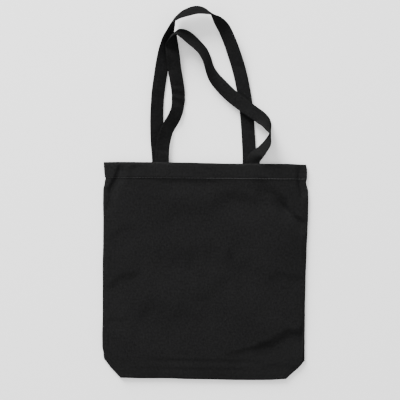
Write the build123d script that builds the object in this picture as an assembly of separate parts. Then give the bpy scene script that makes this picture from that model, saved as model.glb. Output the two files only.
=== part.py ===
from build123d import *

import os
from math import radians, sin

# Canvas tote bag lying flat, front panel up, with its two shoulder straps spread loosely above the mouth.
# Frame: X across the bag, Y from the base towards the mouth, Z up from the surface it lies on.
# The origin is the middle of the bag's back, on that surface. All sizes are in millimetres.

# ---- Driving dimensions ------------------------------------------------------------------------
bag_width = 380.0  # side seam to side seam
bag_height = 405.0  # base fold to mouth edge
ply = 0.5  # one layer of canvas
corner_cut = 35.0  # boxed corner: half the depth of the base
hem_depth = 28.5  # turned-over hem round the mouth
hem_stitch_inset = 1.5  # hem stitching, in from the hem's lower fold
side_slope = 25.0  # how far in from a side seam the front comes down to the back
base_slope = 50.0  # the same, up from the base fold
mouth_gap = 5.0  # free height between the straps' tails at the mouth
seam_allowance = 12.0  # raw edges inside the side and base seams

strap_width = 25.0  # edge to edge
strap_thick = 1.6  # four plies of the canvas, pressed
strap_pitch = 171.0  # middle to middle of a strap's two ends
front_strap_shift = 2.8  # the front strap's middle, off the bag's centre line
back_strap_shift = -3.8
tail_length = 25.0  # how far a strap's end runs down inside the hem
exit_gap = 0.5  # between a sewn tail, which ends at the mouth edge, and the free strap
turn_height = 1.4  # a strap folds about a line this far above what it rests against
turn_reach = 2.0  # and this far beyond the mouth edge

thread = 0.8  # width of a stitched row
thread_proud = 0.3  # how far a row stands out of the cloth
overlock = 3.0  # width of the overlocked edge of a seam allowance
tack_inset = 2.5  # box of stitches, in from the strap's edges and the mouth
free_gap = 0.3  # between pieces that move against each other
fold_clearance = 10.0  # inside stitching keeps this far from the base fold, where the front comes down

# ---- Levels and edges that follow from them ----------------------------------------------------
half_width = bag_width / 2
base_y = -bag_height / 2
mouth_y = bag_height / 2
hem_fold_y = mouth_y - hem_depth
hem_stitch_y = hem_fold_y + hem_stitch_inset
tuck_y = base_y + corner_cut  # where the base seam lies, tucked up inside

turned_plies = 2 * ply
back_tail_z = ply + turned_plies
back_strap_z = back_tail_z + strap_thick / 2
front_tail_z = back_tail_z + strap_thick + mouth_gap
front_strap_z = front_tail_z + strap_thick / 2
front_top_z = front_tail_z + strap_thick + turned_plies + ply
rim_z = ply + turned_plies + free_gap  # lowest edge of the front panel

turn_y = mouth_y + turn_reach
front_turn_z = front_top_z + turn_height
back_turn_z = back_tail_z + strap_thick + turn_height

# ---- Strap routes ------------------------------------------------------------------------------
# Each point is the strap's middle (x, and y beyond the mouth edge) and the height of its lower edge,
# both halfway through its thickness, then the way its outer edge lies from the inner one:
# the compass heading in the XY plane and the rise above it, in degrees. A rise of 0 is flat with
# the outer face up, 90 is standing on edge, and more than 90 has leaned over to the inner face.
front_left_x = front_strap_shift - strap_pitch / 2
front_right_x = front_strap_shift + strap_pitch / 2
back_left_x = back_strap_shift - strap_pitch / 2
back_right_x = back_strap_shift + strap_pitch / 2

front_route = [
    (front_left_x, exit_gap, front_strap_z, 180, 0),
    (front_left_x, 4.5, front_strap_z, 180, 0),
    (front_left_x, 15.5, front_strap_z - 0.7, 180, 1),
    (-81, 37.5, 6.3, 180, 8),
    (-75, 59.5, 4.1, 158, 18),
    (-62, 84.5, 2.8, 152, 22),
    (-54, 107.5, 2.2, 168, 20),
    (-52.5, 129.5, 1.8, 182, 22),
    (-55, 153.5, 3.2, 186, 20),
    (-60, 178.5, 7.0, 185, 10),
    (-64, 203.5, 9.8, 184, 8),
    (-66.5, 221.5, 7.2, 186, 20),
    (-67, 233.5, 7.1, 208, 42),
    (-64.5, 242.5, 9.2, 232, 60),
    (-56, 246, 8.9, 250, 58),
    (-43.5, 242.5, 7.3, 244, 38),
    (-30, 233, 6.4, 236, 32),
    (-17.5, 222, 5.3, 230, 38),
    (-6.5, 209.5, 4.6, 222, 42),
    (0.5, 194.5, 3.7, 212, 48),
    (5.5, 178, 3.8, 207, 44),
    (14, 162, 5.4, 213, 24),
    (28.5, 145.5, 6.8, 220, 8),
    (46, 128.5, 7.6, 226, 2),
    (66.5, 112.5, 8.1, 229, 2),
    (85, 99.5, 6.9, 232, 12),
    (101, 89.5, 5.1, 236, 28),
    (112.5, 79.5, 4.2, 230, 48),
    (118.8, 68.5, 3.9, 220, 68),
    (120.6, 57.5, 4.0, 176, 88),
    (119, 47, 3.8, -36, 77),
    (113.3, 36.3, 4.4, -35, 62),
    (104.5, 26.3, 5.2, -32, 48),
    (96, 18, 6.9, -20, 26),
    (front_right_x + 2, 10, front_strap_z - 1.2, -8, 8),
    (front_right_x, 4, front_strap_z, 0, 0),
    (front_right_x, exit_gap, front_strap_z, 0, 0),
]

back_route = [
    (back_left_x, exit_gap, back_strap_z, 180, 0),
    (back_left_x, 4.5, back_strap_z, 180, 0),
    (back_left_x - 0.8, 17.5, back_strap_z - 0.3, 180, 3),
    (-92, 37.5, 1.6, 180, 9),
    (-93.5, 67.5, 1.6, 180, 15),
    (-93.5, 97.5, 1.7, 179, 20),
    (-92, 127.5, 1.7, 177, 20),
    (-88.5, 157.5, 1.6, 173, 18),
    (-84.5, 185.5, 2.1, 170, 16),
    (-80.5, 207.5, 1.7, 167, 20),
    (-76, 227.5, 1.5, 158, 40),
    (-70.5, 245.5, 2.6, 150, 66),
    (-63.5, 261, 5.5, 141, 88),
    (-53.5, 274, 8.4, 124, 104),
    (-39.5, 283.5, 10.4, 107, 117),
    (-22.5, 288.5, 11.5, 92, 123),
    (-5.5, 288, 10.0, 74, 113),
    (8, 281.5, 7.5, 58, 92),
    (20.5, 270, 6.6, 45, 56),
    (31.5, 254, 5.7, 30, 33),
    (42.5, 231, 4.8, 18, 22),
    (53, 202.5, 4.4, 15, 12),
    (62, 173.5, 3.4, 13, 5),
    (69, 142.5, 2.6, 9, 2),
    (74.5, 109.5, 2, 6, 0),
    (78, 73.5, 1.8, 3, 0),
    (80.5, 37.5, 2.0, 1, 0),
    (back_right_x, 5.5, back_strap_z, 0, 0),
    (back_right_x, exit_gap, back_strap_z, 0, 0),
]

route_steps = 2  # sections of the solid between one point of a route and the next


# ---- Helpers -----------------------------------------------------------------------------------
def slab(x0, x1, y0, y1, z0, z1):
    """A flat piece of cloth or a stitched row, from its two corners."""
    return Pos((x0 + x1) / 2, (y0 + y1) / 2, (z0 + z1) / 2) * Box(abs(x1 - x0), abs(y1 - y0), abs(z1 - z0))


def panel_outline(side_inset, base_inset, z):
    """The flat bag's outline with its two boxed corners, drawn in from the sides and the base."""
    x = half_width - side_inset
    y = base_y + base_inset
    points = [
        (-x, mouth_y, z),
        (-x, y + corner_cut, z),
        (-x + corner_cut, y, z),
        (x - corner_cut, y, z),
        (x, y + corner_cut, z),
        (x, mouth_y, z),
    ]
    return make_face(Polyline(*points, close=True))


def raised_body(drop):
    """The space under the raised front, lowered by drop."""
    body = loft([panel_outline(0, 0, rim_z), panel_outline(side_slope, base_slope, front_top_z)], ruled=True)
    return Pos(0, 0, -drop) * body


def front_layer(top_drop, bottom_drop, y0, y1):
    """Cloth that follows the raised front, between two depths below its outside, from y0 to y1."""
    layer = raised_body(top_drop) - raised_body(bottom_drop)
    return layer & slab(-half_width, half_width, y0, y1, rim_z, front_top_z)


def width_vector(heading, rise):
    """Unit vector from a strap's inner edge to its outer edge."""
    flat = Vector(1, 0, 0).rotate(Axis.Y, -rise)
    return flat.rotate(Axis.Z, heading)


def edge_rise(rise):
    """How far a strap's middle is above its lower edge."""
    return strap_width / 2 * sin(radians(rise))


def between(a, b, c, d, t):
    """The point a share t of the way from b to c, on a smooth curve that also heeds a and d."""
    return (b * 2 + (c - a) * t + (a * 2 - b * 5 + c * 4 - d) * t**2 + (b * 3 - a - c * 3 + d) * t**3) * 0.5


def smooth(points):
    """The points again, with route_steps sections to each stretch."""
    padded = [points[0] * 2 - points[1], *points, points[-1] * 2 - points[-2]]
    made = []
    for i in range(len(points) - 1):
        made += [between(*padded[i : i + 4], step / route_steps) for step in range(route_steps)]
    return made + [points[-1]]


def route_frames(route):
    """Middle, width direction and thickness direction of a strap at each section.

    Where the width direction isn't square to the path it is made longer, so the strap keeps its width."""
    middles = smooth([Vector(x, mouth_y + y, low + edge_rise(rise)) for x, y, low, heading, rise in route])
    widths = smooth([width_vector(heading, rise) for x, y, low, heading, rise in route])
    frames = []
    for i, middle in enumerate(middles):
        ahead = middles[min(i + route_steps, len(middles) - 1)]
        behind = middles[max(i - route_steps, 0)]
        along = (ahead - behind).normalized()
        square = widths[i] - along * widths[i].dot(along)
        frames.append((middle, widths[i] / square.length, along.cross(square).normalized()))
    return frames


def strap_solid(route, from_inner, to_outer, low, high):
    """A band along a route: its width from the strap's middle line, its thickness from the middle layer."""
    sections = []
    for middle, across, normal in route_frames(route):
        corners = [
            middle + across * from_inner + normal * low,
            middle + across * to_outer + normal * low,
            middle + across * to_outer + normal * high,
            middle + across * from_inner + normal * high,
        ]
        sections.append(make_face(Polyline(*corners, close=True)))
    return loft(sections, ruled=True)


def row_of_box(x0, x1, y0, y1, z0):
    """A rectangle of stitches, as a thin raised frame."""
    outer = slab(x0, x1, y0, y1, z0, z0 + thread_proud)
    inner = slab(x0 + thread, x1 - thread, y0 + thread, y1 - thread, z0, z0 + thread_proud)
    return outer - inner


# ---- Body of the bag ---------------------------------------------------------------------------
def front_panel():
    return front_layer(0, ply, base_y, mouth_y)


def front_hem_turn():
    """The front's top edge, turned under twice."""
    return front_layer(ply, ply + turned_plies, hem_fold_y, mouth_y)


def back_panel():
    return extrude(panel_outline(0, 0, 0), ply)


def back_hem_turn():
    return slab(-half_width, half_width, hem_fold_y, mouth_y, ply, back_tail_z)


def base_half(layer):
    """Half of the base, tucked up between the panels: layer 0 belongs to the back, 1 to the front."""
    reach = half_width - corner_cut
    return slab(-reach, reach, base_y, tuck_y, ply * (layer + 1), ply * (layer + 2))


def corner_tuck(side):
    """The end of the base and of the side, folded in under a boxed corner."""
    inner = side * (half_width - corner_cut)
    outline = [(inner, base_y, ply), (side * half_width, tuck_y, ply), (inner, tuck_y, ply)]
    return extrude(make_face(Polyline(*outline, close=True)), turned_plies, dir=(0, 0, 1))


def side_allowance(side):
    """Both raw edges of a side seam, lying inside against the back."""
    edge = side * (half_width - thread)
    return slab(edge, edge - side * seam_allowance, tuck_y, hem_fold_y, ply, back_tail_z)


def base_allowance():
    reach = half_width - corner_cut
    return slab(-reach, reach, tuck_y, tuck_y + seam_allowance, ply, back_tail_z)


def side_seam(side):
    """Lockstitch that closes a side."""
    edge = side * half_width
    return slab(edge, edge - side * thread, tuck_y, hem_fold_y, ply, back_tail_z)


def side_overlock(side):
    """Overlock thread round the raw edge of a side allowance."""
    edge = side * (half_width - thread - seam_allowance)
    return slab(edge, edge + side * overlock, tuck_y + seam_allowance, hem_fold_y, back_tail_z, back_tail_z + free_gap)


def base_seam():
    reach = half_width - corner_cut
    return slab(-reach, reach, tuck_y - thread, tuck_y, back_tail_z, back_tail_z + thread_proud)


def base_overlock():
    reach = half_width - corner_cut
    edge = tuck_y + seam_allowance
    return slab(-reach, reach, edge - overlock, edge, back_tail_z, back_tail_z + thread_proud)


def corner_seam(side):
    """Lockstitch across a boxed corner."""
    edge = side * (half_width - corner_cut)
    y0 = base_y + fold_clearance
    return slab(edge, edge - side * thread, y0, tuck_y - 2 * thread, back_tail_z, back_tail_z + thread_proud)


def front_hem_thread():
    reach = half_width - side_slope
    return slab(-reach, reach, hem_stitch_y, hem_stitch_y + thread, front_top_z, front_top_z + thread_proud)


def back_hem_thread():
    """The back's hem stitching, where it shows inside the mouth."""
    spans = []
    reach = half_width - seam_allowance
    edges = [-reach, back_left_x - strap_width / 2, back_left_x + strap_width / 2]
    edges += [back_right_x - strap_width / 2, back_right_x + strap_width / 2, reach]
    for x0, x1 in zip(edges[::2], edges[1::2]):
        spans.append(slab(x0, x1, hem_stitch_y, hem_stitch_y + thread, back_tail_z, back_tail_z + thread_proud))
    return Compound(spans)


# ---- Straps ------------------------------------------------------------------------------------
def strap_tail(middle_x, z0):
    """A strap's sewn end, flat inside the hem."""
    return slab(
        middle_x - strap_width / 2, middle_x + strap_width / 2, mouth_y - tail_length, mouth_y, z0, z0 + strap_thick
    )


def tack(middle_x, z0):
    """Box of stitches that holds a strap's end to the hem."""
    half = strap_width / 2 - tack_inset
    return row_of_box(middle_x - half, middle_x + half, hem_stitch_y + thread, mouth_y - tack_inset, z0)


def strap(route):
    return strap_solid(route, -strap_width / 2, strap_width / 2, -strap_thick / 2, strap_thick / 2)


nodes = {
    "front_panel": front_panel(),
    "front_hem_turn": front_hem_turn(),
    "back_panel": back_panel(),
    "back_hem_turn": back_hem_turn(),
    "back_base_half": base_half(0),
    "front_base_half": base_half(1),
    "base_seam_allowance": base_allowance(),
    "base_seam_thread": base_seam(),
    "base_overlock_thread": base_overlock(),
    "front_hem_thread": front_hem_thread(),
    "back_hem_thread": back_hem_thread(),
    "front_strap": strap(front_route),
    "back_strap": strap(back_route),
}
for name, side in (("left", -1), ("right", 1)):
    nodes[f"{name}_corner_tuck"] = corner_tuck(side)
    nodes[f"{name}_corner_thread"] = corner_seam(side)
    nodes[f"{name}_seam_allowance"] = side_allowance(side)
    nodes[f"{name}_seam_thread"] = side_seam(side)
    nodes[f"{name}_overlock_thread"] = side_overlock(side)
for name, x in (("front_left", front_left_x), ("front_right", front_right_x)):
    nodes[f"{name}_strap_tail"] = strap_tail(x, front_tail_z)
    nodes[f"{name}_tack_thread"] = tack(x, front_top_z)
for name, x in (("back_left", back_left_x), ("back_right", back_right_x)):
    nodes[f"{name}_strap_tail"] = strap_tail(x, back_tail_z)
    nodes[f"{name}_tack_thread"] = tack(x, back_tail_z + strap_thick)

os.makedirs("parts", exist_ok=True)
for name, shape in nodes.items():
    export_step(shape, f"parts/{name}.step")

print("front strap folds about y", round(turn_y, 2), "z", round(front_turn_z, 2))
print("back strap folds about y", round(turn_y, 2), "z", round(back_turn_z, 2))
print("mouth opens about y", round(base_y, 2), "z", round(rim_z, 2))
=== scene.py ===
import math

import bmesh
import bpy
from mathutils import Matrix, Vector, noise


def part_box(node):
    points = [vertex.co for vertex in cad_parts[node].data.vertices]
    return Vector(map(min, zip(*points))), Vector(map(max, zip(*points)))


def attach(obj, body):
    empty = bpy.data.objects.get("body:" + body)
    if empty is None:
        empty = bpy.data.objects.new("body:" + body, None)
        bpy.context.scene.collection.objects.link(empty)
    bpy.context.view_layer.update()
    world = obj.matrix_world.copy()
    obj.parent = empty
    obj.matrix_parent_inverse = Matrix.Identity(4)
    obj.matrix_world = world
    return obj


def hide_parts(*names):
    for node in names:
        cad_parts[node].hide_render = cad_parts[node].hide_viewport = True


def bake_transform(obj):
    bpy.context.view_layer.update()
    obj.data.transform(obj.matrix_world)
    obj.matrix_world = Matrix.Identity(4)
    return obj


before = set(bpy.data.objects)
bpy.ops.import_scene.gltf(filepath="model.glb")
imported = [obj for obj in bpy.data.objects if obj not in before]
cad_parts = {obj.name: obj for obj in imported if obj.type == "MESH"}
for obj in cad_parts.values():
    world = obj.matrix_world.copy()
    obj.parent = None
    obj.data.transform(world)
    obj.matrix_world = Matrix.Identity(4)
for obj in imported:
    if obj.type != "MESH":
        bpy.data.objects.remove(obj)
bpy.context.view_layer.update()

mm = 0.001

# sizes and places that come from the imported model, in metres
panelLow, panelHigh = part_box("back_panel")
halfWidth = panelHigh.x
baseY, mouthY = panelLow.y, panelHigh.y
ply = panelHigh.z - panelLow.z
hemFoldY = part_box("front_hem_turn")[0].y
hemThreadLow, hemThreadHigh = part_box("front_hem_thread")
hemStitchY = (hemThreadLow.y + hemThreadHigh.y) / 2
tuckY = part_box("base_seam_allowance")[0].y
hemDepth = mouthY - hemFoldY
bagHeight = mouthY - baseY


studio = {
    "lens": 100,
    "spanAcross": 0.7544,  # width of the view at the height of the bag
    "aim": (-0.0108, 0.1338, 0.006),
    "turn": 0.5,  # degrees the camera is turned about its own axis
    "keyPower": 880,
    "keySize": 3.0,
    "keyPlace": (-2.4, 4.4, 1.9),  # low, beyond the upper left corner
    "keyAim": (0, 0.1, 0),
    "skyStrength": 1.15,
    "floorGlow": 0.25,
    "floorReach": 25,
    "floorHeight": -0.3 * mm,
    "floorTone": 0.95,
}


def buildCamera(s):
    data = bpy.data.cameras.new("camera")
    data.lens = s["lens"]
    camera = bpy.data.objects.new("camera", data)
    x, y, z = s["aim"]
    camera.location = (x, y, z + s["spanAcross"] * s["lens"] / data.sensor_width)
    camera.rotation_euler = (0, 0, math.radians(s["turn"]))
    bpy.context.scene.collection.objects.link(camera)
    bpy.context.scene.camera = camera


def addLight(name, place, power, size, aim):
    data = bpy.data.lights.new(name, "AREA")
    data.energy = power
    data.shape = "DISK"
    data.size = size
    light = bpy.data.objects.new(name, data)
    light.location = place
    light.rotation_mode = "QUATERNION"
    light.rotation_quaternion = (Vector(aim) - Vector(place)).to_track_quat("-Z", "Y")
    bpy.context.scene.collection.objects.link(light)


def buildStudio(s):
    addLight("keyLight", s["keyPlace"], s["keyPower"], s["keySize"], s["keyAim"])
    world = bpy.data.worlds.new("studioWorld")
    world.use_nodes = True
    sky = world.node_tree.nodes["Background"]
    sky.inputs["Color"].default_value = (1, 1, 1, 1)
    sky.inputs["Strength"].default_value = s["skyStrength"]
    bpy.context.scene.world = world
    bm = bmesh.new()
    bmesh.ops.create_grid(bm, x_segments=2, y_segments=2, size=s["floorReach"])
    mesh = bpy.data.meshes.new("floor")
    bm.to_mesh(mesh)
    bm.free()
    mesh.transform(Matrix.Translation((0, 0, s["floorHeight"])))
    floor = bpy.data.objects.new("floor", mesh)
    bpy.context.scene.collection.objects.link(floor)
    material = bpy.data.materials.new("paleFloor")
    material.use_nodes = True
    shader = material.node_tree.nodes["Principled BSDF"]
    shader.inputs["Base Color"].default_value = (s["floorTone"], s["floorTone"], s["floorTone"], 1)
    shader.inputs["Roughness"].default_value = 0.9
    shader.inputs["Specular IOR Level"].default_value = 0.1
    shader.inputs["Emission Color"].default_value = (1, 1, 1, 1)
    shader.inputs["Emission Strength"].default_value = s["floorGlow"]
    mesh.materials.append(material)


buildCamera(studio)
buildStudio(studio)
print("camera, lights and floor are in place")


canvasCloth = {
    "name": "blackCanvas",
    "dark": (0.0052, 0.0052, 0.0053, 1),
    "light": (0.0124, 0.0124, 0.0126, 1),
    "lint": (0.030, 0.030, 0.030, 1),
    "thread": 0.75 * mm,
    "wobbleScale": 420.0,
    "slubScale": 900.0,
    "mottleScale": 260.0,
    "wideScale": 14.0,
    "fleckScale": 180.0,
    "weaveShare": 0.20,
    "toneRange": (0.38, 0.62),
    "fleckSize": 0.07,
    "fleckRange": (0.56, 0.64),
    "bump": 0.55,
    "bumpDepth": 0.25 * mm,
    "roughness": 0.92,
    "sheen": 0.006,
    "specular": 0.03,
    "foldLine": bagHeight - 0.6 * mm,  # where the painted highlight along the mouth's folded edge lies up the cloth
    "foldHighlightWidth": 2.6 * mm,
    "foldHighlightShare": 0.34,
    "upperFacePaintedShade": None,
}  # colours are linear, and lengths are in metres of cloth
strapCloth = dict(canvasCloth)
strapCloth.update({
    "name": "blackStrapCanvas",
    "dark": (0.0057, 0.0057, 0.0058, 1),
    "light": (0.0119, 0.0119, 0.0121, 1),
    "thread": 0.62 * mm,
    "specular": 0.002,
    "foldLine": None,
    # painted shade: the front strap's upper face is painted a little darker than its underside
    "upperFacePaintedShade": 0.94,
})
# painted shade and light: the whole back strap is coloured darker so that its crown looks less lit, and its
# upper face, seen along the legs, is painted lighter again
backStrapPaintedShadeCloth = dict(strapCloth)
backStrapPaintedShadeCloth.update({
    "name": "blackBackStrapCanvasPaintedShade",
    "dark": (0.0039, 0.0039, 0.0040, 1),
    "light": (0.0082, 0.0082, 0.0084, 1),
    "upperFacePaintedShade": 1.55,
})
# painted sheen: this black thread is coloured pale grey, standing for the sheen its twist catches
threadWithPaintedSheen = {
    "name": "blackThreadPaintedSheen",
    "dark": (0.046, 0.046, 0.0466, 1),
    "light": (0.092, 0.092, 0.0930, 1),
    "twist": 0.5 * mm,
    "roughness": 0.6,
    "bumpDepth": 0.1 * mm,
}
# the same black thread in its own dark colour, without the painted sheen
dullSewingThread = dict(threadWithPaintedSheen)
dullSewingThread.update({
    "name": "dullBlackThread",
    "dark": (0.006, 0.006, 0.0061, 1),
    "light": (0.014, 0.014, 0.0142, 1),
})


class NodeBench:
    # a short way to add and join shader nodes
    def __init__(self, name):
        self.material = bpy.data.materials.new(name)
        self.material.use_nodes = True
        self.tree = self.material.node_tree
        self.shader = self.tree.nodes["Principled BSDF"]

    def add(self, kind, inputs=None, **settings):
        node = self.tree.nodes.new("ShaderNode" + kind)
        for key, value in settings.items():
            setattr(node, key, value)
        for key, value in (inputs or {}).items():
            if isinstance(value, bpy.types.NodeSocket):
                self.tree.links.new(value, node.inputs[key])
            else:
                node.inputs[key].default_value = value
        return node

    def math(self, operation, a, b=0.0):
        return self.add("Math", {0: a, 1: b}, operation=operation).outputs[0]

    def ramp(self, value, low, high):
        return self.mapRange(value, fromMin=low, fromMax=high)

    def mapRange(self, value, fromMin=0.0, fromMax=1.0, toMin=0.0, toMax=1.0):
        limits = {"From Min": fromMin, "From Max": fromMax, "To Min": toMin, "To Max": toMax}
        return self.add("MapRange", {"Value": value, **limits}).outputs[0]

    def sine(self, vector, width, direction="X", **settings):
        # a wave texture that repeats once in each width
        inputs = {"Vector": vector, "Scale": math.pi / 10 / width, **settings}
        return self.add("TexWave", inputs, bands_direction=direction).outputs["Fac"]

    def mixColor(self, factor, a, b):
        # the mix node holds sockets of every kind, so the colour ones are picked out
        node = self.add("Mix", {0: factor}, data_type="RGBA")
        sockets = [socket for socket in node.inputs if socket.type == "RGBA"]
        for socket, value in zip(sockets, (a, b)):
            if isinstance(value, bpy.types.NodeSocket):
                self.tree.links.new(value, socket)
            else:
                socket.default_value = value
        return [socket for socket in node.outputs if socket.type == "RGBA"][0]


def canvasMaterial(c):
    # plain weave on the piece's own UV map, which is in metres of flat cloth
    b = NodeBench(c["name"])
    uv = b.add("UVMap", uv_map="cloth").outputs["UV"]
    wobble = b.add("TexNoise", {"Vector": uv, "Scale": c["wobbleScale"], "Detail": 1.0}).outputs["Fac"]
    uneven = {"Distortion": 0.6, "Detail": 1.0, "Detail Scale": 0.6}
    warpWave = b.sine(uv, c["thread"], "X", **uneven)
    weftWave = b.sine(uv, c["thread"], "Y", **uneven)
    over = b.add("TexChecker", {"Vector": uv, "Scale": 1 / c["thread"]}).outputs["Fac"]
    under = b.math("SUBTRACT", 1.0, over)
    weave = b.math("ADD", b.math("MULTIPLY", over, warpWave), b.math("MULTIPLY", under, weftWave))
    slub = b.add("Mapping", {"Vector": uv, "Scale": (1.0, 0.12, 1.0)}).outputs["Vector"]
    slubs = b.add("TexNoise", {"Vector": slub, "Scale": c["slubScale"], "Detail": 2.0}).outputs["Fac"]
    mottling = {"Vector": uv, "Scale": c["mottleScale"], "Detail": 4.0, "Roughness": 0.65}
    mottle = b.add("TexNoise", mottling).outputs["Fac"]
    wide = b.add("TexNoise", {"Vector": uv, "Scale": c["wideScale"], "Detail": 2.0}).outputs["Fac"]
    tone = b.math("ADD", b.math("MULTIPLY", mottle, 0.60), b.math("MULTIPLY", slubs, 0.28))
    tone = b.math("ADD", tone, b.math("MULTIPLY", wide, 0.12))
    mottled = b.math("MULTIPLY", b.ramp(tone, *c["toneRange"]), 1 - c["weaveShare"])
    tone = b.math("ADD", b.math("MULTIPLY", weave, c["weaveShare"]), mottled)
    color = b.mixColor(tone, c["dark"], c["light"])
    flecks = b.add("TexVoronoi", {"Vector": uv, "Scale": c["fleckScale"], "Randomness": 1.0})
    fleck = b.math("LESS_THAN", flecks.outputs["Distance"], c["fleckSize"])
    lint = b.math("MULTIPLY", fleck, b.ramp(mottle, *c["fleckRange"]))
    color = b.mixColor(lint, color, c["lint"])
    if c["foldLine"]:
        # painted highlight: the mouth's folded edge is mixed toward the pale lint colour, standing for the
        # light the fold catches
        up = b.add("SeparateXYZ", {"Vector": uv}).outputs["Y"]
        near = b.math("ABSOLUTE", b.math("SUBTRACT", up, c["foldLine"]))
        foldHighlight = b.mapRange(near, fromMax=c["foldHighlightWidth"], toMin=c["foldHighlightShare"], toMax=0.0)
        foldHighlight = b.math("MULTIPLY", foldHighlight, b.ramp(mottle, 0.30, 0.62))
        color = b.mixColor(foldHighlight, color, c["lint"])
    if c["upperFacePaintedShade"]:
        # painted shade: a strap's underside is mapped half a metre away or more, and the upper face's
        # colour is scaled by its own factor, standing for the light each face catches
        across = b.add("SeparateXYZ", {"Vector": uv}).outputs["Y"]
        paintedFaceShade = b.mapRange(b.math("GREATER_THAN", across, 0.5), toMin=c["upperFacePaintedShade"])
        color = b.add("VectorMath", {0: color, 1: paintedFaceShade}, operation="MULTIPLY").outputs["Vector"]
    b.tree.links.new(color, b.shader.inputs["Base Color"])
    height = b.math("ADD", weave, b.math("MULTIPLY", b.math("ADD", slubs, wobble), 0.5))
    bump = b.add("Bump", {"Height": height, "Strength": c["bump"], "Distance": c["bumpDepth"]})
    b.tree.links.new(bump.outputs["Normal"], b.shader.inputs["Normal"])
    rough = b.mapRange(mottle, toMin=c["roughness"] - 0.08, toMax=c["roughness"] + 0.06)
    b.tree.links.new(rough, b.shader.inputs["Roughness"])
    b.shader.inputs["Specular IOR Level"].default_value = c["specular"]
    b.shader.inputs["Sheen Weight"].default_value = c["sheen"]
    b.shader.inputs["Sheen Roughness"].default_value = 0.45
    return b.material


def threadMaterial(c):
    # twisted sewing thread
    b = NodeBench(c["name"])
    place = b.add("TexCoord").outputs["Object"]
    slant = b.add("Mapping", {"Vector": place, "Rotation": (0.0, 0.5, 0.7)}).outputs["Vector"]
    twist = b.sine(slant, c["twist"], Distortion=0.8)
    fuzz = b.add("TexNoise", {"Vector": place, "Scale": 700.0, "Detail": 3.0}).outputs["Fac"]
    tone = b.math("ADD", b.math("MULTIPLY", twist, 0.6), b.math("MULTIPLY", fuzz, 0.4))
    b.tree.links.new(b.mixColor(tone, c["dark"], c["light"]), b.shader.inputs["Base Color"])
    bump = b.add("Bump", {"Height": tone, "Strength": 0.6, "Distance": c["bumpDepth"]})
    b.tree.links.new(bump.outputs["Normal"], b.shader.inputs["Normal"])
    b.shader.inputs["Roughness"].default_value = c["roughness"]
    b.shader.inputs["Specular IOR Level"].default_value = 0.1
    b.shader.inputs["Sheen Weight"].default_value = 0.01
    return b.material


canvas = canvasMaterial(canvasCloth)
strapCanvas = canvasMaterial(strapCloth)
backStrapPaintedShadeCanvas = canvasMaterial(backStrapPaintedShadeCloth)
# painted sheen: the pale grey thread material
thread = threadMaterial(threadWithPaintedSheen)
dullThread = threadMaterial(dullSewingThread)
print("materials are ready")


def smoothStep(low, high, value):
    t = min(1.0, max(0.0, (value - low) / (high - low)))
    return t * t * (3 - 2 * t)


def softRamp(value, width):
    # 0 below zero and value above it, with a rounded turn
    return width * math.log1p(math.exp(min(40.0, value / width)))


def softMin(a, b, width):
    return -width * math.log(math.exp(-min(a / width, 50.0)) + math.exp(-min(b / width, 50.0)))


def readAlong(points, y):
    # value at y on a smooth line through (y, value) points
    if y <= points[0][0]:
        return points[0][1]
    for (y0, v0), (y1, v1) in zip(points, points[1:]):
        if y <= y1:
            return v0 + (v1 - v0) * smoothStep(y0, y1, y)
    return points[-1][1]


def makePiece(name, bm, material):
    bmesh.ops.recalc_face_normals(bm, faces=bm.faces)
    mesh = bpy.data.meshes.new(name)
    bm.to_mesh(mesh)
    bm.free()
    mesh.materials.append(material)
    mesh.polygons.foreach_set("use_smooth", [True] * len(mesh.polygons))
    piece = bpy.data.objects.new(name, mesh)
    bpy.context.scene.collection.objects.link(piece)
    return piece


def flatMap(bm, place):
    # a UV map in metres of flat cloth, from where each vertex was before it was shaped
    layer = bm.loops.layers.uv.new("cloth")
    for face in bm.faces:
        for loop in face.loops:
            loop[layer].uv = place(loop.vert)


outline = {
    # in mm: (y, how far the side seam lies inside the flat width), from the base to the mouth
    "leftIn": [
        (-200, -3.0), (-185, -2.4), (-172, -0.2), (-157, -1.0), (-143, -3.2), (-123, -3.6),
        (-90, -3.1), (-40, -3.4), (12, -3.9), (50, -3.2), (90, -3.3), (131, -4.1),
        (150, -3.9), (165, -1.4), (173, 0.3), (177, -0.8), (184, -1.8), (201, -3.1),
    ],
    "rightIn": [
        (-200, 1.0), (-190, -0.2), (-182, -1.6), (-175, -1.1), (-170, 0.2), (-164, 2.3), (-140, 2.3),
        (-120, 1.5), (-86, 1.0), (-18, -0.1), (40, -1.5), (84, -3.1), (102, -3.8),
        (136, -4.0), (152, -3.4), (168, 0.4), (176, -0.6), (190, -0.8), (202, 0.8),
    ],
    # and (x, how far the mouth or the base lies inside the flat height), from left to right
    "mouthIn": [
        (-190, -1.5), (-160, -2.0), (-33, -1.9), (0, -1.2), (40, -0.6), (90, -0.7), (150, -1.1), (190, 0.1),
    ],
    "baseIn": [
        (-155, -0.9), (-120, -1.6), (-67, -1.2), (-37, -2.1), (0, -2.4), (60, -3.1), (90, -3.0),
        (120, -2.6), (155, -0.6),
    ],
}
loftShape = {
    "seamHeight": 2.6 * mm,
    "sideRoll": 3.2 * mm,
    "baseRoll": 4.2 * mm,
    "sideReach": 34 * mm,
    "baseReach": 40 * mm,
    "middle": 10.2 * mm,
    "curlReach": 9 * mm,
    "curlShort": 0.35 * mm,  # how far below the front's seam the back's curl ends
    "backRest": 0.15 * mm,  # the back's height above the floor
    "chamferSoft": 2.6 * mm,
    "wideWave": 1.2 * mm,
    "smallWave": 0.45 * mm,
    "allowanceStep": 0.4 * mm,
    "seamPucker": 0.55 * mm,
    "hemStep": 0.95 * mm,
    "hemSlope": 1.0 * mm,
    "mouthDrop": 0.8 * mm,
    "stitchGroove": 0.45 * mm,
    "hemPucker": 0.32 * mm,
    "hemWave": 0.5 * mm,
}
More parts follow.
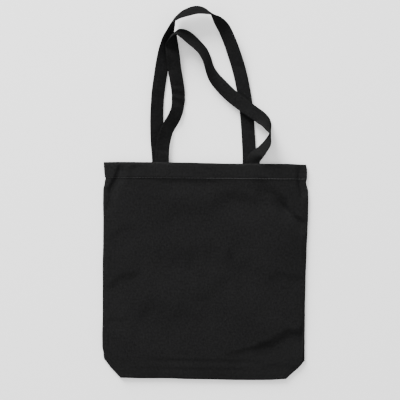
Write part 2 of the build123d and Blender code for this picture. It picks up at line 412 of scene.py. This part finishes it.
# each fold in mm: from (x, y) to (x, y), width of the drop on its right side, depth, and how many
# widths it takes to rise again
folds = [
    ((-188, 140), (-164, 198), 7, 3.4, 3.0),
    ((-190, 104), (-180, 152), 8, 1.3, 2.5),
    ((-146, 188), (-130, 197), 8, 1.3, 3.0),
    ((100, 178), (166, 118), 17, 4.2, 2.2),
    ((136, 142), (193, 82), 10, 4.0, 2.5),
    ((177, 134), (171, 201), 7, 3.0, 2.5),
    ((26, 152), (112, 126), 20, 2.3, 2.2),
    ((-110, 171), (36, 168.5), 7, 1.3, 4.0),
    ((38, -160), (130, -132), 10, 2.0, 4.0),
    ((94, -148), (196, -98), 21, 5.0, 3.0),
    ((-192, -32), (-128, -2), 18, 2.2, 3.0),
    ((128, -4), (192, -12), 10, 1.3, 3.0),
    ((-190, 60), (-140, 84), 14, 1.1, 4.0),
    ((-130, 28), (60, 40), 46, 2.4, 1.6),
    ((-160, -62), (0, -84), 40, 2.0, 2.0),
    ((-192, -98), (-148, -88), 10, 1.0, 3.0),
    ((60, 34), (150, -30), 38, 1.6, 2.0),
    ((-90, 106), (40, 128), 34, 1.3, 2.2),
    ((112, -170), (178, -182), 12, 1.4, 3.0),
    ((-30, -64), (70, 12), 30, 1.1, 2.2),
    ((-152, -166), (116, -169), 5, 0.75, 3.0),
    ((-150, -182), (124, -184.5), 4, 0.45, 3.0),
]


def sideOf(x):
    return "rightIn" if x > 0 else "leftIn"


def halfWidthAt(side, y):
    chamfer = softRamp(tuckY - y, loftShape["chamferSoft"])
    return halfWidth - readAlong(outline[side], y / mm) * mm - chamfer


def chamferSlope(y):
    past = (tuckY - y) / loftShape["chamferSoft"]
    return 1 / (1 + math.exp(-max(-40.0, min(40.0, past))))


def mouthAt(x):
    return mouthY - readAlong(outline["mouthIn"], x / mm) * mm


def baseAt(x):
    return baseY + readAlong(outline["baseIn"], x / mm) * mm


def edgeDistances(x, y):
    side = (halfWidthAt(sideOf(x), y) - abs(x)) / math.sqrt(1 + chamferSlope(y) ** 2)
    return max(0.0, side), max(0.0, y - baseAt(x))


def waves(x, y, seed):
    return noise.noise(Vector((x, y, seed)))


def foldDepth(x, y):
    # each fold drops away on the right of its line, then rises slowly
    total = 0.0
    for (x0, y0), (x1, y1), width, depth, rise in folds:
        dx, dy = x1 - x0, y1 - y0
        length = math.hypot(dx, dy)
        along = ((x / mm - x0) * dx + (y / mm - y0) * dy) / length
        if not -width < along < length + width:
            continue
        across = ((x / mm - x0) * dy - (y / mm - y0) * dx) / length
        across += width * 0.5 * waves(along / 26, x0, y0)
        q = across / width
        fade = smoothStep(-0.6 * width, 0.35 * length, along)
        fade *= 1 - smoothStep(0.8 * length, length + width, along)
        total -= fade * depth * smoothStep(-0.5, 0.5, q) * (1 - smoothStep(0.4, 0.4 + rise, q))
    return total * mm


def stepDown(distance, place, width, height):
    return height * (1 - smoothStep(place - width / 2, place + width / 2, distance))


def frontHeight(x, y):
    # height of the front panel's outside above the floor
    s = loftShape
    side, base = edgeDistances(x, y)
    sideRoll = s["sideRoll"] * math.sqrt(1 - (1 - min(1.0, side / s["sideRoll"])) ** 2)
    baseRoll = s["baseRoll"] * math.sqrt(1 - (1 - min(1.0, base / s["baseRoll"])) ** 2)
    roll = softMin(sideRoll, baseRoll, 0.35 * mm)
    loft = softMin(1 - math.exp(-side / s["sideReach"]), 1 - math.exp(-base / s["baseReach"]), 0.08)
    z = s["seamHeight"] + roll + (s["middle"] - s["seamHeight"] - roll) * max(0.0, loft)
    near = min(side, base)
    inner = smoothStep(0, 28 * mm, near)
    z += inner * s["wideWave"] * waves(x / 0.095, y / 0.095, 1.7)
    z += inner * s["smallWave"] * waves(x / 0.040, y / 0.040, 4.2)
    z += smoothStep(0, 5 * mm, near) * foldDepth(x, y)
    # the allowance of the side seam lies under the cloth
    if y < hemFoldY:
        z += stepDown(side, 12.5 * mm, 4 * mm, s["allowanceStep"]) * smoothStep(0, 4 * mm, side)
    # puckers along the side seams
    nearSeam = math.exp(-side / (9 * mm)) * smoothStep(0, 2 * mm, side)
    z += s["seamPucker"] * waves(y / 0.0085, 7.0 * (x > 0), 3.0) * nearSeam
    # the hem stands higher, slopes down to the mouth, and has a stitched groove with puckers
    z += s["hemStep"] * smoothStep(hemFoldY - 1.4 * mm, hemFoldY + 0.8 * mm, y)
    z -= s["hemSlope"] * smoothStep(hemFoldY, mouthY, y)
    z -= s["mouthDrop"] * smoothStep(mouthY - 4 * mm, mouthY, y)
    fromStitch = y - hemStitchY
    z -= s["stitchGroove"] * math.exp(-((fromStitch / (1.0 * mm)) ** 2))
    z += s["hemPucker"] * waves(x / 0.0075, 11.0, 0.0) * math.exp(-abs(fromStitch) / (8 * mm))
    z += s["hemWave"] * waves(x / 0.055, 21.0, 0.0) * smoothStep(hemFoldY - 20 * mm, mouthY, y) * inner
    return z


def curlAt(x, y):
    # how far the edge of the back curls up off the floor
    side, base = edgeDistances(x, y)
    away = min(1.0, max(0.0, softMin(side, base, 0.5 * mm)) / loftShape["curlReach"])
    return (loftShape["seamHeight"] - loftShape["curlShort"]) * (1 - away) ** 2


def backHeight(x, y):
    # height of the back panel's outside, which rests on the floor
    return loftShape["backRest"] + curlAt(x, y)


def clothSpacing(count, length, fine):
    # distances from one border, closer together near it; the fine steps are in sixths of that stretch
    fineSteps = [0.0, 0.25, 0.6, 1.05, 1.6, 2.4, 3.4, 4.6]
    inner = [fine + (length - fine) * i / count for i in range(count + 1)]
    return [step * fine / 6 for step in fineSteps] + inner


panelCloth = {
    "stepAcross": 2.1 * mm,
    "stepAlong": 2.1 * mm,
    "fine": 6.0 * mm,
    "foldSteps": 6,
    "bendFrom": 0.185,
    "bendTo": 0.102,
}


def buildPanel(name, side, outside, upwards):
    # one half of a panel, from the side seam to the middle and from the base to the turned hem inside
    g = panelCloth
    across = clothSpacing(round(halfWidth / g["stepAcross"]), halfWidth, g["fine"])
    along = clothSpacing(round(bagHeight / g["stepAlong"]), bagHeight, g["fine"])
    hemRadius = 1.5 * ply
    foldLength = math.pi * hemRadius
    rows = along + [bagHeight + foldLength * (i + 1) / g["foldSteps"] for i in range(g["foldSteps"])]
    hemRows = round(hemDepth / g["stepAlong"])
    rows += [rows[-1] + hemDepth * (i + 1) / hemRows for i in range(hemRows)]
    bm = bmesh.new()
    bmesh.ops.create_grid(bm, x_segments=len(across) - 1, y_segments=len(rows) - 1, size=0.5)
    flat = {}
    for v in bm.verts:
        i = round((v.co.x + 0.5) * (len(across) - 1))
        j = round((v.co.y + 0.5) * (len(rows) - 1))
        flat[v] = (across[i], rows[j])
    flatMap(bm, lambda v: (side * (halfWidth - flat[v][0]), flat[v][1]))
    facing = 1 if upwards else -1
    for v in bm.verts:
        fromSeam, up = flat[v]
        turn = min(max(0.0, (up - bagHeight) / foldLength), 1.0)
        pastFold = max(0.0, up - bagHeight - foldLength)
        y = baseY + min(up, bagHeight) - pastFold
        share = 1 - fromSeam / halfWidth
        x = side * share * halfWidthAt(sideOf(side), y)
        low, high = baseAt(x), mouthAt(x)
        y = low + (y - baseY) / bagHeight * (high - low) if y < mouthY else high
        z = outside(x, y)
        rollOut = hemRadius * math.sin(math.pi * turn)
        drop = hemRadius * (1 - math.cos(math.pi * turn))
        rollOut -= hemRadius * smoothStep(bagHeight - 4 * mm, bagHeight, up)
        v.co = (x, y + rollOut, z - facing * drop)
    for edge in bm.edges:
        edge.smooth = not edge.is_boundary
    piece = makePiece(name, bm, canvas)
    normalUp = piece.data.polygons[0].normal.z > 0
    if normalUp != upwards:
        piece.data.flip_normals()
    solid = piece.modifiers.new("thickness", "SOLIDIFY")
    solid.thickness = ply
    solid.offset = -1
    return piece


def blendFront(piece):
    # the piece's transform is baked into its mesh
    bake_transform(piece)


frontLeft = buildPanel("front_panel_left", -1, frontHeight, True)
frontRight = buildPanel("front_panel_right", 1, frontHeight, True)
backLeft = buildPanel("back_panel_left", -1, backHeight, False)
backRight = buildPanel("back_panel_right", 1, backHeight, False)
for piece, side in ((frontLeft, -1), (frontRight, 1)):
    blendFront(piece)
for piece in (backLeft, backRight):
    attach(piece, "back")
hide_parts("front_panel", "front_hem_turn")
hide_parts("back_panel", "back_hem_turn")
print("panels are made")


tailLow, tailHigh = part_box("front_left_strap_tail")
strap = {
    "width": tailHigh.x - tailLow.x + 0.8 * mm,
    "thick": tailHigh.z - tailLow.z,
    "tail": mouthY - tailLow.y,
    "step": 2.6 * mm,
    "across": 8,
    "edgeRound": 0.6 * mm,
    "stitchInset": 2.6 * mm,
    "stitchPitch": 3.1 * mm,
    "stitchFrom": 4 * mm,
    "stitchFree": 6 * mm,  # of the length, without stitches
    "stitchLift": 0.02 * mm,
    "stitchLength": 0.72,  # of the pitch
    "stitchWidth": 0.42 * mm,
    "stitchHeight": 0.36 * mm,
    "grooveDepth": 0.22 * mm,
    "grooveWidth": 0.9 * mm,
    "puff": 0.18 * mm,
    "ripple": 0.40 * mm,
    "wander": 0.9 * mm,
    "hemSlack": 0.2 * mm,  # between the hem and the front strap's ends
    "lowestEnd": 4.8 * mm,  # of the front strap
}


def middleOf(node, axis):
    low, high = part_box(node)
    return (low[axis] + high[axis]) / 2 / mm


frontLeftX, frontRightX = middleOf("front_left_strap_tail", 0), middleOf("front_right_strap_tail", 0)
backLeftX, backRightX = middleOf("back_left_strap_tail", 0), middleOf("back_right_strap_tail", 0)
backStrapZ = middleOf("back_left_strap_tail", 2)
tailEnd = -strap["tail"] / mm


def underHem(x, y=-4):
    # height in mm of the front strap's middle where it is sewn to the inside of the hem
    inner = frontHeight(x * mm, mouthY + y * mm) - 3 * ply - strap["thick"] / 2
    return max(strap["lowestEnd"], inner - strap["hemSlack"]) / mm


# in mm and degrees: the strap's middle (x, y beyond the mouth edge), the height of its lower edge, then
# the heading and rise of the line across it, and how much it is cupped there
frontRoute = [
    (frontLeftX, tailEnd, underHem(frontLeftX, tailEnd), 180, 0),
    (frontLeftX, -12, underHem(frontLeftX, -12), 180, 0),
    (frontLeftX, 0, underHem(frontLeftX), 180, 0),
    (frontLeftX, 5, underHem(frontLeftX), 180, 0),
    (frontLeftX, 15.5, underHem(frontLeftX), 180, 1),
    (-81, 37.5, 5.4, 180, 8),
    (-75, 59.5, 4.1, 158, 18),
    (-62, 84.5, 3.0, 152, 22),
    (-54, 107.5, 3.8, 168, 20),
    (-53, 129.5, 4.6, 182, 12),
    (-56.5, 153.5, 5.2, 186, 8),
    (-61, 178.5, 7.0, 185, 3),
    (-64, 203.5, 9.8, 184, 8),
    (-66.5, 221.5, 7.2, 186, 14),
    (-67, 233.5, 7.1, 208, 36, 20),
    (-64.5, 242.5, 8.6, 232, 58, 28),
    (-56, 246, 8.9, 250, 58),
    (-43.5, 242.5, 7.3, 244, 38),
    (-30, 233, 6.4, 236, 32),
    (-17.5, 222, 5.3, 230, 38),
    (-6.5, 209.5, 4.6, 222, 42),
    (0.5, 194.5, 3.7, 212, 48),
    (5.5, 178, 3.8, 207, 44),
    (14, 162, 5.4, 213, 24),
    (28.5, 145.5, 6.8, 220, 8),
    (46, 128.5, 7.6, 226, 2),
    (66.5, 112.5, 8.1, 229, 2),
    (85, 99.5, 6.9, 232, 12),
    (101, 88.5, 5.1, 236, 18),
    (112, 78.5, 4.2, 230, 36),
    (118.3, 68, 3.9, 220, 58, 14),
    (120.8, 57.5, 4.0, 180, 86, 26),
    (119, 47, 3.8, -36, 70, 14),
    (113.3, 36.8, 4.4, -35, 54),
    (104.5, 26.8, 5.2, -32, 42),
    (96, 18, 7.6, -20, 26),
    (frontRightX + 2, 10, 8.0, -8, 8),
    (frontRightX, 4, underHem(frontRightX) + 0.4, 0, 0),
    (frontRightX, 0, underHem(frontRightX), 0, 0),
    (frontRightX, -12, underHem(frontRightX, -12), 0, 0),
    (frontRightX, tailEnd, underHem(frontRightX, tailEnd), 0, 0),
]
backRoute = [
    (backLeftX, tailEnd, backStrapZ, 180, 0),
    (backLeftX, -12, backStrapZ, 180, 0),
    (backLeftX, 0, backStrapZ, 180, 0),
    (backLeftX, 5, backStrapZ, 180, 0),
    (backLeftX - 0.8, 17.5, backStrapZ - 0.3, 180, 3),
    (-92, 37.5, 1.6, 180, 9),
    (-93.5, 67.5, 1.6, 180, 15),
    (-93.5, 97.5, 1.7, 179, 20),
    (-92, 127.5, 1.7, 177, 20),
    (-88.5, 157.5, 1.6, 173, 18),
    (-84.5, 185.5, 2.1, 170, 16),
    (-80.5, 207.5, 1.7, 167, 20),
    (-76, 227.5, 1.5, 158, 40),
    (-72, 246, 2.6, 150, 58, 26),
    (-67.5, 261, 4.6, 143, 74, 38),
    (-62.5, 270, 6.2, 134, 98, 42),
    (-55, 276.5, 8.0, 124, 114, 28),
    (-39.5, 282, 10.4, 107, 130),
    (-22.5, 287, 11.5, 92, 134),
    (-5.5, 286.5, 10.0, 74, 124, 14),
    (8.5, 281.5, 7.2, 58, 98, 34),
    (19.8, 269, 6.4, 45, 58, 10),
    (31.5, 254, 5.7, 30, 33),
    (42.5, 231, 4.8, 18, 22),
    (53, 202.5, 4.4, 15, 12),
    (62, 173.5, 3.4, 13, 5),
    (69, 142.5, 2.6, 9, 2),
    (74.5, 109.5, 2, 6, 0),
    (78, 73.5, 1.8, 3, 0),
    (80.5, 37.5, 2.0, 1, 0),
    (backRightX, 12, backStrapZ, 0, 0),
    (backRightX, 0, backStrapZ, 0, 0),
    (backRightX, -12, backStrapZ, 0, 0),
    (backRightX, tailEnd, backStrapZ, 0, 0),
]


def widthVector(heading, rise):
    h, r = math.radians(heading), math.radians(rise)
    return Vector((math.cos(r) * math.cos(h), math.cos(r) * math.sin(h), math.sin(r)))


def withEnds(points):
    return [points[0] * 2 - points[1], *points, points[-1] * 2 - points[-2]]


def mixAt(a, b, start, end, t):
    return a * ((end - t) / (end - start)) + b * ((t - start) / (end - start))


def smoothLine(points, knots, samples):
    # a smooth curve through the points, which lie at the knots
    padded = withEnds(points)
    made = []
    for i in range(len(points) - 1):
        p0, p1, p2, p3 = padded[i:i + 4]
        t0, t1, t2, t3 = knots[i:i + 4]
        for k in range(samples):
            t = t1 + (t2 - t1) * k / samples
            a1 = mixAt(p0, p1, t0, t1, t)
            a2 = mixAt(p1, p2, t1, t2, t)
            a3 = mixAt(p2, p3, t2, t3, t)
            b1 = mixAt(a1, a2, t0, t2, t)
            b2 = mixAt(a2, a3, t1, t3, t)
            made.append(mixAt(b1, b2, t1, t2, t))
    return made + [points[-1]]


def routeLine(route, samples=10):
    # frames along a route: distance, middle, width direction, thickness direction and cup
    middles, widths, cups = [], [], []
    for x, y, low, heading, rise, *cup in route:
        lift = strap["width"] / 2 * math.sin(math.radians(rise))
        middles.append(Vector((x * mm, mouthY + y * mm, low * mm + lift)))
        widths.append(widthVector(heading, rise))
        cups.append(Vector((math.radians(cup[0]) if cup else 0, 0, 0)))
    knots = [0.0]
    ended = withEnds(middles)
    for p, q in zip(ended, ended[1:]):
        knots.append(knots[-1] + max(1e-6, (q - p).length) ** 0.5)
    middles, widths, cups = [smoothLine(points, knots, samples) for points in (middles, widths, cups)]
    line, distance = [], 0.0
    for i, middle in enumerate(middles):
        if i:
            distance += (middle - middles[i - 1]).length
        ahead, behind = middles[min(i + 3, len(middles) - 1)], middles[max(i - 3, 0)]
        forward = (ahead - behind).normalized()
        lean = widths[i].normalized()
        square = lean - forward * lean.dot(forward)
        turned = forward.cross(square).normalized()
        line.append((distance, middle, lean / max(0.6, square.length), turned, cups[i]))
    return line


def onLine(line, distance):
    # the frame at a distance along a strap
    low, high = 0, len(line) - 1
    while high - low > 1:
        middle = (low + high) // 2
        if line[middle][0] <= distance:
            low = middle
        else:
            high = middle
    a, b = line[low], line[high]
    t = min(1.0, max(0.0, (distance - a[0]) / (b[0] - a[0])))
    return [u.lerp(v, t) for u, v in zip(a[1:], b[1:])]


def bendOnto(bm, line, seed, dents):
    # a flat blank, along X and across Y, is bent onto its route
    for v in bm.verts:
        middle, across, normal, cup = onLine(line, v.co.x)
        half = strap["width"] / 2
        share = v.co.y / half
        bend = max(1e-3, cup.x)
        radius = half / bend
        square = normal * math.cos(share * bend) - across * math.sin(share * bend)
        ripple = strap["ripple"] * waves(v.co.x / 0.012, share * 1.5, seed)
        ripple += strap["wander"] * waves(v.co.x / 0.045, share * 0.8, seed + 5)
        loose = smoothStep(strap["tail"], strap["tail"] + 25 * mm, min(v.co.x, line[-1][0] - v.co.x))
        for at, wide, deep in dents:
            q = (v.co.x / mm - at - share * wide * 0.6) / wide
            ripple -= deep * mm * math.exp(-q * q)
        onArc = across * radius * math.sin(share * bend) + normal * radius * (1 - math.cos(share * bend))
        v.co = middle + onArc + square * (v.co.z + ripple * loose)


def thicken(bm, height):
    # a flat sheet gets a top, this much higher
    raised = bmesh.ops.extrude_face_region(bm, geom=bm.faces[:])
    top = [v for v in raised["geom"] if isinstance(v, bmesh.types.BMVert)]
    bmesh.ops.translate(bm, vec=(0, 0, height), verts=top)


def isLongRim(edge, reach):
    # true for an edge along X that lies on one of the blank's two long sides
    a, b = [v.co for v in edge.verts]
    onSide = all(abs(abs(end.y) - reach) < 1e-6 for end in (a, b))
    return onSide and abs(a.z - b.z) < 1e-6 and abs(a.x - b.x) > 1e-6


def strapBlank(length):
    # a flat strap: folded canvas with rounded edges and a shallow groove under each row of stitches
    s = strap
    bm = bmesh.new()
    count = round(length / s["step"])
    bmesh.ops.create_grid(bm, x_segments=count, y_segments=s["across"], size=0.5)
    bmesh.ops.scale(bm, vec=(length, s["width"], 1), verts=bm.verts)
    bmesh.ops.translate(bm, vec=(length / 2, 0, -s["thick"] / 2), verts=bm.verts)
    thicken(bm, s["thick"])
    rims = [edge for edge in bm.edges if isLongRim(edge, s["width"] / 2)]
    bmesh.ops.bevel(bm, geom=rims, offset=s["edgeRound"], offset_type="OFFSET", affect="EDGES", segments=3,
                    profile=0.5, material=-1)
    groove = s["width"] / 2 - s["stitchInset"]
    for v in bm.verts:
        sink = s["grooveDepth"] * math.exp(-(((abs(v.co.y) - groove) / s["grooveWidth"]) ** 2))
        puff = s["puff"] * (1 - (v.co.y / (s["width"] / 2)) ** 2)
        v.co.z += math.copysign(puff - sink, v.co.z)
    flatMap(bm, lambda v: (v.co.x, v.co.y))
    # the underside is mapped a metre away, so that the cloth's material can tell the two faces apart and
    # paint shade on one of them
    layer = bm.loops.layers.uv.active
    for face in bm.faces:
        if face.calc_center_median().z < 0:
            for loop in face.loops:
                loop[layer].uv.y += 1
    return bm


def layStitches(places, length, width, height):
    # rounded stitches lying on z = 0, each at its (x, y, z, turn)
    bm = bmesh.new()
    one = bmesh.ops.create_uvsphere(bm, u_segments=6, v_segments=4, radius=0.5)["verts"]
    bmesh.ops.scale(bm, vec=(height, width, length), verts=one)
    bmesh.ops.rotate(bm, matrix=Matrix.Rotation(math.pi / 2, 3, "Y"), verts=one)
    each = len(one)
    while len(bm.verts) < each * len(places):
        bmesh.ops.duplicate(bm, geom=bm.verts[:] + bm.edges[:] + bm.faces[:])
    bmesh.ops.delete(bm, geom=bm.verts[:][each * len(places):], context="VERTS")
    for i, v in enumerate(bm.verts):
        x, y, z, turn = places[i // each]
        v.co = Matrix.Rotation(turn, 3, "Z") @ v.co + Vector((x, y, z))
    return bm


def strapStitching(length):
    # rows of stitches on both faces, near both edges
    s = strap
    count = int((length - s["stitchFree"]) / s["stitchPitch"])
    places = []
    for face in (-1, 1):
        for edge in (-1, 1):
            for i in range(count):
                x = s["stitchFrom"] + i * s["stitchPitch"] + (face > 0) * s["stitchPitch"] / 2
                y = edge * (s["width"] / 2 - s["stitchInset"])
                places.append((x, y, face * (s["thick"] / 2 + s["stitchLift"]), 0))
    return layStitches(places, s["stitchPitch"] * s["stitchLength"], s["stitchWidth"], s["stitchHeight"])


frontStrap = {
    "name": "front_strap_cloth",
    "nodes": ["front_strap", "front_left_strap_tail", "front_right_strap_tail"],
    "cloth": strapCanvas,
    "route": frontRoute,
    "bodies": ("front", "front_handle"),
    "bendLength": 16 * mm,
    "seed": 2.0,
    "dents": [
        (49, 4, 1.2), (98, 8, 1.8), (122, 7, -1.4), (146, 7, 2.6), (162, 6, 2.4), (178, 5, 1.4),
        (-56, 5, 1.2),
    ],
}
backStrap = {
    "name": "back_strap_cloth",
    "nodes": ["back_strap", "back_left_strap_tail", "back_right_strap_tail"],
    "cloth": backStrapPaintedShadeCanvas,
    "route": backRoute,
    "bodies": ("back", "back_handle"),
    "bendLength": 30 * mm,
    "seed": 9.0,
    "dents": [(60, 6, 0.8), (150, 7, 0.6), (-44, 5, 0.9), (-90, 6, 0.7), (-210, 7, 0.9)],
}


def buildStrap(c):
    # each dent is (distance, width, depth) in mm, and a negative distance is from the far end
    line = routeLine(c["route"])
    length = line[-1][0]
    dents = [(at if at > 0 else length / mm + at, wide, deep) for at, wide, deep in c["dents"]]
    bm = strapBlank(length)
    bendOnto(bm, line, c["seed"], dents)
    piece = makePiece(c["name"], bm, c["cloth"])
    bm = strapStitching(length)
    bendOnto(bm, line, c["seed"], dents)
    stitches = makePiece(c["name"] + "_stitching", bm, dullThread)
    for p in (piece, stitches):
        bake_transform(p)
    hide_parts(*c["nodes"])
    print(c["name"], "length", round(length / mm), "mm")


buildStrap(frontStrap)
buildStrap(backStrap)
print("straps are made")


hemStitching = {"pitch": 2.9 * mm, "length": 2.2 * mm, "width": 0.5 * mm, "height": 0.42 * mm}
seamStitching = {"pitch": 3.0 * mm, "length": 2.3 * mm, "width": 0.45 * mm, "height": 0.4 * mm}
overlock = {"pitch": 1.6 * mm, "slant": 0.35, "width": 0.45 * mm, "height": 0.35 * mm}
hemRowPlace = {"below": 0.9 * mm, "fromMiddle": 0.2 * mm, "fromSeam": 2.5 * mm, "lift": 0.08 * mm}
tack = {"lift": 0.05 * mm, "backLift": 0.15 * mm}
seamInset = 0.25 * mm
threadSink = 0.1 * mm


def layOn(bm, surface, lift):
    # flat stitches take the height of the surface that they lie on
    for v in bm.verts:
        v.co.z += surface(v.co.x, v.co.y) + lift


def stitchRow(start, end, c):
    # places for a straight row of stitches from start to end, both (x, y)
    dx, dy = end[0] - start[0], end[1] - start[1]
    count = max(1, round(math.hypot(dx, dy) / c["pitch"]))
    shares = [(i + 0.5) / count for i in range(count)]
    return [(start[0] + dx * t, start[1] + dy * t, 0, math.atan2(dy, dx)) for t in shares]


def sewn(places, c):
    return layStitches(places, c["length"], c["width"], c["height"])


def hemRow(name, side):
    c = hemRowPlace
    reach = halfWidthAt(sideOf(side), hemStitchY) - c["fromSeam"]
    y = hemStitchY - c["below"]
    bm = sewn(stitchRow((side * c["fromMiddle"], y), (side * reach, y), hemStitching), hemStitching)
    layOn(bm, frontHeight, c["lift"])
    return makePiece(name, bm, thread)


for name, side in (("front_hem_stitches_left", -1), ("front_hem_stitches_right", 1)):
    row = hemRow(name, side)
    blendFront(row)
    if side < 0:
        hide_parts("front_hem_thread")


def tackBox(name, node, surface, body):
    low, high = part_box(node)
    corners = [(low.x, low.y), (high.x, low.y), (high.x, high.y), (low.x, high.y)]
    places = []
    for start, end in zip(corners, corners[1:] + corners[:1]):
        places += stitchRow(start, end, hemStitching)
    bm = sewn(places, hemStitching)
    layOn(bm, surface, tack["lift"])
    piece = makePiece(name, bm, dullThread)
    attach(piece, body)
    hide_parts(node)


def onBackStrap(x, y):
    return backStrapZ * mm + strap["thick"] / 2 + tack["backLift"]


for side in ("left", "right"):
    tackBox(f"front_{side}_tack_stitches", f"front_{side}_tack_thread", frontHeight, "front")
    tackBox(f"back_{side}_tack_stitches", f"back_{side}_tack_thread", onBackStrap, "back")
print("stitching is made")


inside = {
    "step": 2.6 * mm,
    "wave": 0.25 * mm,
    "thickness": 0.9,  # of the CAD node's
    "lift": 0.12 * mm,
    "cornerArea": 0.55,  # of a corner tuck's box
}


def insideStrip(name, node, taper=False, side=0):
    # a folded-in layer of cloth from its box, with a slight wave; a taper cuts it to a triangle
    low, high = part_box(node)
    width, length, thick = high.x - low.x, high.y - low.y, high.z - low.z
    bm = bmesh.new()
    bmesh.ops.create_grid(bm, x_segments=max(2, round(width / inside["step"])),
                          y_segments=max(2, round(length / inside["step"])), size=0.5)
    bmesh.ops.scale(bm, vec=(width, length, 1), verts=bm.verts)
    bmesh.ops.translate(bm, vec=((low.x + high.x) / 2, (low.y + high.y) / 2, low.z), verts=bm.verts)
    if taper:
        corner = Vector((low.x if side < 0 else high.x, high.y, 0))
        outward = Vector((side, -1, 0)).normalized()
        everything = bm.verts[:] + bm.edges[:] + bm.faces[:]
        bmesh.ops.bisect_plane(bm, geom=everything, plane_co=corner, plane_no=outward, clear_outer=True)
    thicken(bm, thick * inside["thickness"])
    flatMap(bm, lambda v: (v.co.x, v.co.y))
    for v in bm.verts:
        shift = inside["wave"] * waves(v.co.x / 0.02, v.co.y / 0.02, 6.0)
        v.co.z += abs(shift) * 0.5 + inside["lift"] + curlAt(v.co.x, v.co.y)
        edge = min(v.co.x - low.x, high.x - v.co.x)
        if edge < 1 * mm:
            v.co.x += shift * 0.8
    piece = makePiece(name, bm, canvas)
    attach(piece, "back")
    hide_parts(node)


insideStrip("back_base_half_cloth", "back_base_half")
insideStrip("front_base_half_cloth", "front_base_half")
insideStrip("base_allowance_cloth", "base_seam_allowance")
for name, side in (("left", -1), ("right", 1)):
    insideStrip(f"{name}_allowance_cloth", f"{name}_seam_allowance")
    insideStrip(f"{name}_corner_cloth", f"{name}_corner_tuck", taper=True, side=side)


def threadRow(name, node, c, zigzag=False):
    # stitches along a node's long side; zigzag slants them across its width as an overlock does
    low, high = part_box(node)
    tall = high.y - low.y > high.x - low.x
    middle = ((low.x + high.x) / 2, (low.y + high.y) / 2)
    start = (middle[0], low.y) if tall else (low.x, middle[1])
    end = (middle[0], high.y) if tall else (high.x, middle[1])
    if zigzag:
        length = (high.y - low.y) if tall else (high.x - low.x)
        wide = (high.x - low.x) if tall else (high.y - low.y)
        count = int(length / c["pitch"])
        places = []
        for i in range(count):
            t = (i + 0.5) / count
            turn = (0 if tall else math.pi / 2) + (c["slant"] if i % 2 else -c["slant"])
            x = start[0] + (end[0] - start[0]) * t
            y = start[1] + (end[1] - start[1]) * t
            places.append((x, y, 0, turn))
        bm = layStitches(places, wide, c["width"], c["height"])
    else:
        bm = sewn(stitchRow(start, end, c), c)
    layOn(bm, curlAt, high.z - threadSink)
    piece = makePiece(name, bm, thread)
    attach(piece, "back")
    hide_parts(node)


def seamRow(name, node, edge, side):
    # stitches that show in the groove of a side seam
    low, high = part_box(node)
    count = round((high.y - low.y) / seamStitching["pitch"])
    places = []
    for i in range(count):
        y = low.y + (high.y - low.y) * (i + 0.5) / count
        lean = halfWidthAt(edge, y + 1 * mm) - halfWidthAt(edge, y - 1 * mm)
        x = side * (halfWidthAt(edge, y) - seamInset)
        places.append((x, y, loftShape["seamHeight"] - threadSink, math.atan2(2 * mm, side * lean)))
    piece = makePiece(name, sewn(places, seamStitching), dullThread)
    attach(piece, "back")
    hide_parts(node)


threadRow("base_seam_stitches", "base_seam_thread", seamStitching)
threadRow("base_overlock_stitches", "base_overlock_thread", overlock, zigzag=True)
threadRow("back_hem_stitches", "back_hem_thread", hemStitching)
for name, side in (("left", -1), ("right", 1)):
    seamRow(f"{name}_seam_stitches", f"{name}_seam_thread", name + "In", side)
    threadRow(f"{name}_corner_stitches", f"{name}_corner_thread", seamStitching)
    threadRow(f"{name}_overlock_stitches", f"{name}_overlock_thread", overlock, zigzag=True)
print("inside is made")
